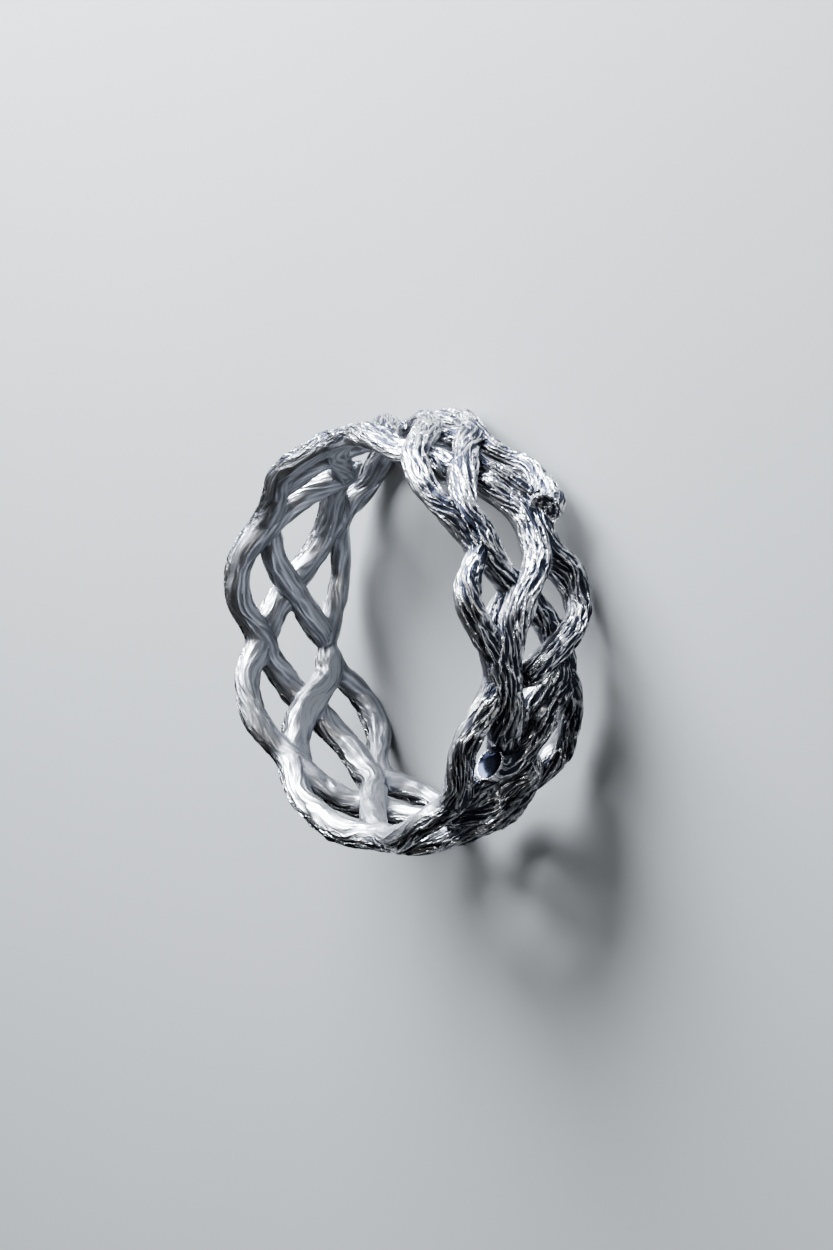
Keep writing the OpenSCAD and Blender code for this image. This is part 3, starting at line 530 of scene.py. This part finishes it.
def clearBore(points, number):
    # nothing stands in the finger hole, and nothing leaves the box of the solid. Each twig stops
    # a little further out than the one before, so that no two surfaces coincide in the union
    r = np.hypot(points[..., 0], points[..., 1])
    closest = band["bore"] + band["clearance"] + band["stagger"] * number
    points[..., :2] *= (np.maximum(r, closest) / r)[..., None]
    low, high = (np.array(corner) / mm for corner in cadBox)
    np.clip(points, low + band["inset"], high - band["inset"], out=points)


def addAttribute(mesh, name, values):
    # values for each point, kept for each corner so that the union carries them over
    corner = np.zeros(len(mesh.loops), np.int32)
    mesh.loops.foreach_get("vertex_index", corner)
    attribute = mesh.attributes.new(name, "FLOAT_VECTOR", "CORNER")
    attribute.data.foreach_set("vector", values[corner].astype(np.float32).ravel())


def twigMesh(name, skin):
    rings, columns = skin["points"].shape[:2]
    at = np.arange(rings * columns).reshape(rings, columns)
    beside = np.roll(at, -1, 1)
    quads = np.stack([at[:-1], beside[:-1], beside[1:], at[1:]], 2).reshape(-1, 4)
    ends = [skin["points"][e].mean(0) for e in (0, -1)]
    caps = [[rings * columns, b, a] for a, b in zip(at[0], beside[0])]
    caps += [[rings * columns + 1, a, b] for a, b in zip(at[-1], beside[-1])]
    mesh = bpy.data.meshes.new(name)
    points = np.concatenate([skin["points"].reshape(-1, 3), ends])
    mesh.from_pydata((points * mm).tolist(), [], quads.tolist() + caps)
    masks = np.stack([skin["ridge"], skin["jointPatinaAndShade"], skin["inside"]], 2).reshape(-1, 3)
    endMasks = [[skin[key][e].mean() for key in ("ridge", "jointPatinaAndShade", "inside")] for e in (0, -1)]
    addAttribute(mesh, "bark", np.concatenate([masks, endMasks]))
    endGrain = [skin["grain"][e].mean(0) for e in (0, -1)]
    addAttribute(mesh, "grain", np.concatenate([skin["grain"].reshape(-1, 3), endGrain]))
    kept = mesh.attributes.new("kept", "FLOAT", "POINT")
    kept.data.foreach_set("value", np.ones(len(points), np.float32))
    piece = bpy.data.objects.new(name, mesh)
    bpy.context.scene.collection.objects.link(piece)
    return piece


def growTwigs():
    dice = np.random.default_rng(bark["seed"])
    twigs = [layOut(route, f"{kind}{i}") for kind in routes for i, route in enumerate(routes[kind])]
    girth, lift = band["web"] / band["twig"], band["webLift"]
    for i, (turnA, acrossA, turnB, acrossB) in enumerate(webs):
        rows = [[turnA + u * (turnB - turnA), acrossA + u * (acrossB - acrossA), lift, share * girth]
                for u, share in band["webShape"]]
        twigs.append(layOut(rows, f"web{i}"))
    for i, (turn, across, lift) in enumerate(knots["rows"]):
        rows = [[turn + step, across, lift, share * knots["girth"]] for step, share in knots["shape"]]
        twigs.append(layOut(rows, f"knot{i}"))
    pieces = []
    for i, twig in enumerate(twigs):
        skin = barkTwig(twig, dice)
        gap, away = nearOthers(skin["points"], twigs, i)
        runTogether(skin, gap, away)
        raiseKnots(skin)
        if twig["name"] in sawnEnds:
            sawnFace(skin, twig, sawnEnds[twig["name"]], dice)
        clearBore(skin["points"], i)
        pieces.append(twigMesh(twig["name"], skin))
    print(len(pieces), "twigs,", sum(len(p.data.polygons) for p in pieces), "faces before the union")
    return pieces


def fuse(pieces):
    # pairs first, then pairs of pairs, which is quicker than one after another
    while len(pieces) > 1:
        for a, b in zip(pieces[::2], pieces[1::2]):
            union = a.modifiers.new("union", "BOOLEAN")
            union.operation = "UNION"
            union.solver = "MANIFOLD"
            union.object = b
            bpy.context.view_layer.objects.active = a
            bpy.ops.object.modifier_apply(modifier="union")
            bpy.data.objects.remove(b)
        pieces = pieces[::2]
    return pieces[0]


def softenSeams(piece):
    # the union's new points, and the few rings beside them, are drawn towards their neighbours
    mesh = piece.data
    points = np.zeros(len(mesh.vertices) * 3)
    mesh.vertices.foreach_get("co", points)
    points = points.reshape(-1, 3)
    edges = np.zeros(len(mesh.edges) * 2, np.int64)
    mesh.edges.foreach_get("vertices", edges)
    edges = edges.reshape(-1, 2)
    kept = np.zeros(len(points), np.float32)
    mesh.attributes["kept"].data.foreach_get("value", kept)
    weight = 1.0 - kept
    for ring in range(seams["rings"]):
        spread = weight.copy()
        np.maximum.at(spread, edges[:, 0], seams["fade"] * weight[edges[:, 1]])
        np.maximum.at(spread, edges[:, 1], seams["fade"] * weight[edges[:, 0]])
        weight = spread
    count = np.bincount(edges.ravel(), minlength=len(points))[:, None]
    for step in range(seams["steps"]):
        total = np.zeros_like(points)
        np.add.at(total, edges[:, 0], points[edges[:, 1]])
        np.add.at(total, edges[:, 1], points[edges[:, 0]])
        points += seams["draw"] * weight[:, None] * (total / count - points)
    mesh.vertices.foreach_set("co", points.ravel())
    mesh.update()


class Wire:
    # a socket that takes part in sums: an expression on sockets adds its Math nodes
    def __init__(self, tree, socket=None):
        self.tree, self.socket = tree, socket

    def node(self, kind, settings=None, inputs=None, output=0):
        made = self.tree.nodes.new(kind)
        for name, value in (settings or {}).items():
            setattr(made, name, value)
        for name, value in (inputs or {}).items():
            if isinstance(value, Wire):
                self.tree.links.new(value.socket, made.inputs[name])
            else:
                made.inputs[name].default_value = value
        return Wire(self.tree, made.outputs[output])

    def maths(self, operation, a, b):
        return self.node("ShaderNodeMath", {"operation": operation}, {0: a, 1: b})

    def __add__(self, other):
        return self.maths("ADD", self, other)

    def __radd__(self, other):
        return self.maths("ADD", other, self)

    def __sub__(self, other):
        return self.maths("SUBTRACT", self, other)

    def __rsub__(self, other):
        return self.maths("SUBTRACT", other, self)

    def __mul__(self, other):
        return self.maths("MULTIPLY", self, other)

    def step(self, low, high):
        # 0 below low and 1 above high, with a smooth rise
        return self.node("ShaderNodeMapRange", {"interpolation_type": "SMOOTHSTEP"},
                         {"Value": self, "From Min": low, "From Max": high})

    def blend(self, a, b):
        # colour a where this mask is 0, b where it is 1
        return self.node("ShaderNodeMix", {"data_type": "RGBA"}, {0: self, 6: a, 7: b}, 2)

    def noise(self, scale, detail, roughness, output=0):
        # clouds over these coordinates
        inputs = {"Vector": self, "Scale": scale, "Detail": detail, "Roughness": roughness}
        return self.node("ShaderNodeTexNoise", {}, inputs, output)

    def net(self, scale, inner, outer):
        # lines between cells over these coordinates, 1 on a line and 0 further than outer from it
        inputs = {"Vector": self, "Scale": scale}
        edge = self.node("ShaderNodeTexVoronoi", {"feature": "DISTANCE_TO_EDGE"}, inputs)
        return 1 - edge.step(inner, outer)


silver = {
    "polished": (0.86, 0.87, 0.9),
    "blackened": (0.035, 0.04, 0.058),
    "pit": (0.018, 0.022, 0.036),  # the floor of the smooth sawn face, and the knots' hollows
    "pitFrom": -0.7,  # height of the bark below which it starts
    "pitFull": -1.6,  # and where it is full
    "warm": (0.5, 0.42, 0.3),  # a warm tint in clouds on the polished ridges: partly tarnish, partly painted reflection of warm surroundings
    "warmth": 0.35,  # most of it
    "warmFrom": 0.58,  # density of a cloud where it starts
    "warmFull": 0.72,
    "satin": (0.31, 0.32, 0.35),  # the smooth side that touches the finger
    "satinShare": 0.75,  # how far it covers the bark's own colours there
    "smooth": 0.9,  # share of the fine pattern that this side lacks
    "roughTop": 0.22,
    "roughGroove": 0.42,
    "roughInside": 0.13,  # added on the side that touches the finger
    "roughPit": 0.27,  # taken away in a pit
    "roughGrit": 0.15,  # rise and fall of it with the grit
    "worn": 0.3,  # height of the bark above which the black is polished off
    "wornSpan": 0.6,  # further up, where it is all off
    "bump": 0.08,  # mm that the fine relief stands for
}

# The fine pattern: how often each noise repeats in a mm, its detail and its roughness, and how often
# each net repeats, how far its lines are full and how far they fade
pattern = {
    "bend": (1.6, 2, 0.5),
    "fibre": (9, 4, 0.6),
    "grit": (14, 3, 0.5),
    "cloud": (0.8, 2, 0.5),
    "net": (2.8, 0.01, 0.12),
    "fineNet": (6, 0.01, 0.15),
    "bendBy": 0.3,  # mm that the lines are bent sideways
    "drawn": 0.15,  # repeats along a twig for each one round it
}

# How much each part adds to the bark's height or takes from it, and the same for the fine relief
# the joint term takes height near other twigs, which blackens the joints: partly patina kept there, partly
# painted shade
heights = {"ridge": 0.65, "net": 0.5, "fineNet": 0.2, "fibre": 0.4, "jointPatinaAndShade": 0.3, "inside": 0.3}
reliefs = {"net": 0.5, "fineNet": 0.25, "fibre": 0.2, "grit": 0.04}


def newMaterial(name):
    material = bpy.data.materials.new(name)
    material.use_nodes = True
    tree = material.node_tree
    tree.nodes.clear()
    shader = tree.nodes.new("ShaderNodeBsdfPrincipled")
    output = tree.nodes.new("ShaderNodeOutputMaterial")
    tree.links.new(shader.outputs[0], output.inputs[0])
    return material, shader, Wire(tree)


def plug(wire, shader, name):
    wire.tree.links.new(wire.socket, shader.inputs[name])


def blackenedSilver():
    material, shader, start = newMaterial("blackenedSilver")
    masks = start.node("ShaderNodeAttribute", {"attribute_name": "bark"}, output="Vector")
    parts = start.node("ShaderNodeSeparateXYZ", {}, {0: masks}).socket.node
    ridge, jointPatinaAndShade, inside = (Wire(start.tree, parts.outputs[i]) for i in range(3))
    grain = start.node("ShaderNodeAttribute", {"attribute_name": "grain"}, output="Vector")
    bends = {0: grain.noise(*pattern["bend"], "Color"), 1: (pattern["bendBy"],) * 3, 2: grain}
    bent = start.node("ShaderNodeVectorMath", {"operation": "MULTIPLY_ADD"}, bends)
    drawn = {0: bent, 1: (1, 1, pattern["drawn"])}
    long = start.node("ShaderNodeVectorMath", {"operation": "MULTIPLY"}, drawn)
    net, fineNet = long.net(*pattern["net"]), long.net(*pattern["fineNet"])
    fibre = long.noise(*pattern["fibre"])
    grit, cloud = grain.noise(*pattern["grit"]), grain.noise(*pattern["cloud"])
    rough = 1 - inside * silver["smooth"]
    pit = 1 - ridge.step(silver["pitFull"], silver["pitFrom"])

    cracks = (net * heights["net"] - fineNet * heights["fineNet"]) * rough
    height = ridge * heights["ridge"] + cracks + (fibre - 0.5) * heights["fibre"]
    # the joints are blackened: partly patina kept there, partly painted shade
    height = height - jointPatinaAndShade * heights["jointPatinaAndShade"] + inside * heights["inside"]
    worn = height.step(silver["worn"], silver["worn"] + silver["wornSpan"])

    # warm clouds on the polished colour: partly tarnish, partly painted reflection of warm surroundings
    tarnishAndWarmReflection = cloud.step(silver["warmFrom"], silver["warmFull"]) * silver["warmth"]
    bright = tarnishAndWarmReflection.blend((*silver["polished"], 1), (*silver["warm"], 1))
    dark = pit.blend((*silver["blackened"], 1), (*silver["pit"], 1))
    satin = inside * silver["satinShare"]
    plug(satin.blend(worn.blend(dark, bright), (*silver["satin"], 1)), shader, "Base Color")

    polish = worn * (silver["roughTop"] - silver["roughGroove"]) - pit * silver["roughPit"]
    polish = polish + inside * silver["roughInside"]
    plug(silver["roughGroove"] + polish + (grit - 0.5) * silver["roughGrit"], shader, "Roughness")
    shader.inputs["Metallic"].default_value = 1

    relief = net * reliefs["net"] - fineNet * reliefs["fineNet"]
    relief = (relief + fibre * reliefs["fibre"] + grit * reliefs["grit"]) * rough * (1 - pit)
    bumps = {"Height": relief, "Strength": 1, "Distance": silver["bump"] * mm}
    plug(start.node("ShaderNodeBump", {}, bumps), shader, "Normal")
    return material


def makeRing():
    ring = fuse(growTwigs())
    softenSeams(ring)
    ring.name = ring.data.name = "barkBand"
    ring.data.polygons.foreach_set("use_smooth", np.ones(len(ring.data.polygons), bool))
    ring.data.materials.clear()
    ring.data.materials.append(blackenedSilver())
    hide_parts("braided_band")
    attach(ring, "root")
    triangles = sum(len(p.vertices) - 2 for p in ring.data.polygons)
    print("ring fused:", len(ring.data.vertices), "points,", triangles, "triangles")


studio = {
    "floor": (0.28, 0.29, 0.3),
    "floorHalf": 4,  # m from its middle to an edge
    "floorRough": 0.7,
    "specks": (60, 4, 0.5),  # how often they repeat in a m, their detail and their roughness
    "speckShade": 0.94,  # how bright they are, as a share of the floor
    "world": 0.06,
    # where each soft light stands and how large it is in m, its watts and colour
    "lights": [
        ("sky", (0.118, 0.032, 0.046), 0.14, 1.8, (0.93, 0.96, 1)),
        ("above", (0.07, 0.09, 0.2), 0.12, 0.2, (0.95, 0.97, 1)),
        ("side", (0.02, -0.22, 0.3), 0.06, 0.2, (1, 0.97, 0.92)),
    ],
}


def makeStudio():
    floor = bpy.data.objects.new("floor", bpy.data.meshes.new("floor"))
    half = studio["floorHalf"]
    corners = [(-half, -half, 0), (half, -half, 0), (half, half, 0), (-half, half, 0)]
    floor.data.from_pydata(corners, [], [(0, 1, 2, 3)])
    bpy.context.scene.collection.objects.link(floor)
    material, shader, start = newMaterial("paleFloor")
    where = start.node("ShaderNodeTexCoord", {}, {}, "Object")
    shade = tuple(studio["speckShade"] * c for c in studio["floor"])
    specks = where.noise(*studio["specks"])
    plug(specks.blend((*studio["floor"], 1), (*shade, 1)), shader, "Base Color")
    shader.inputs["Roughness"].default_value = studio["floorRough"]
    floor.data.materials.append(material)
    for name, place, size, watts, color in studio["lights"]:
        lamp = bpy.data.lights.new(name, "AREA")
        lamp.shape = "DISK"
        lamp.size, lamp.energy, lamp.color = size, watts, color
        light = bpy.data.objects.new(name, lamp)
        bpy.context.scene.collection.objects.link(light)
        light.location = place
        light.visible_camera = False
        light.rotation_euler = (-Vector(place)).to_track_quat("-Z", "Y").to_euler()
    world = bpy.data.worlds.new("studio")
    bpy.context.scene.world = world
    world.use_nodes = True
    world.node_tree.nodes["Background"].inputs[0].default_value = (1, 1, 1, 1)
    world.node_tree.nodes["Background"].inputs[1].default_value = studio["world"]
    bpy.context.scene.view_settings.look = "AgX - Medium High Contrast"


placeCamera()
makeRing()
makeStudio()
print("studio set")
